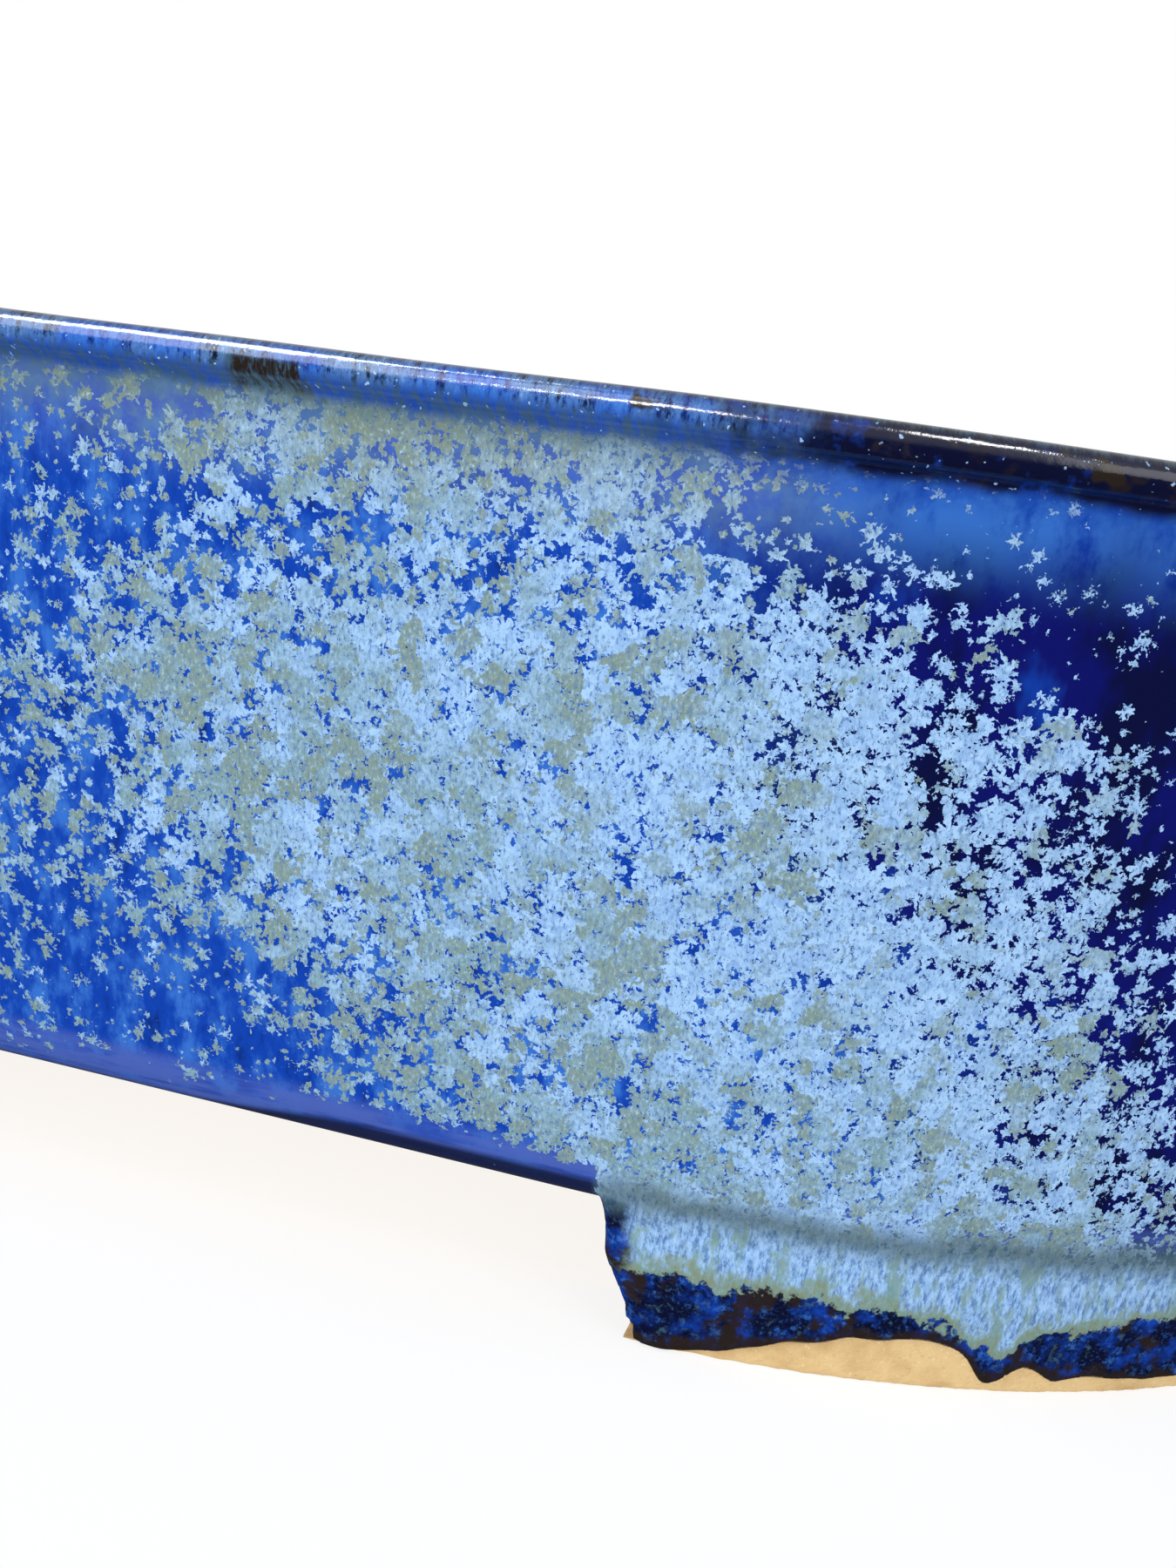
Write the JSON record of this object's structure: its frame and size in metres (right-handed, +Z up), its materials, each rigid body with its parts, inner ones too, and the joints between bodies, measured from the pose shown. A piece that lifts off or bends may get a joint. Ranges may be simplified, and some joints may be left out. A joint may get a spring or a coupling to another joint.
{
  "type": "bonsai pot",
  "caption": "Oval stoneware bonsai pot with flared walls, thin rolled lip, low feet under the round ends, drainage and tie-wire holes, and a crystalline blue glaze.",
  "frame": {"origin": "on the table, under the middle of the pot, at the plane of the four feet", "axes": "+X along the pot's length, +Y across it towards the back, +Z up"},
  "size_m": [0.36, 0.25, 0.092],
  "materials": {
    "blue_glaze": "glossy crystalline glaze: pale blue and sage crystals over cobalt blue",
    "bare_clay": "unglazed sandy buff stoneware"
  },
  "bodies": {
    "root": {"base_slab": "bare_clay", "wall_front": "blue_glaze", "wall_back": "blue_glaze", "wall_left_end": "blue_glaze", "wall_right_end": "blue_glaze", "lip_front": "blue_glaze", "lip_back": "blue_glaze", "lip_left_end": "blue_glaze", "lip_right_end": "blue_glaze", "seam_coil_front": "bare_clay", "seam_coil_back": "bare_clay", "seam_coil_left_end": "bare_clay", "seam_coil_right_end": "bare_clay", "foot_front_left": "blue_glaze", "foot_front_right": "blue_glaze", "foot_back_left": "blue_glaze", "foot_back_right": "blue_glaze"}
  },
  "joints": []
}
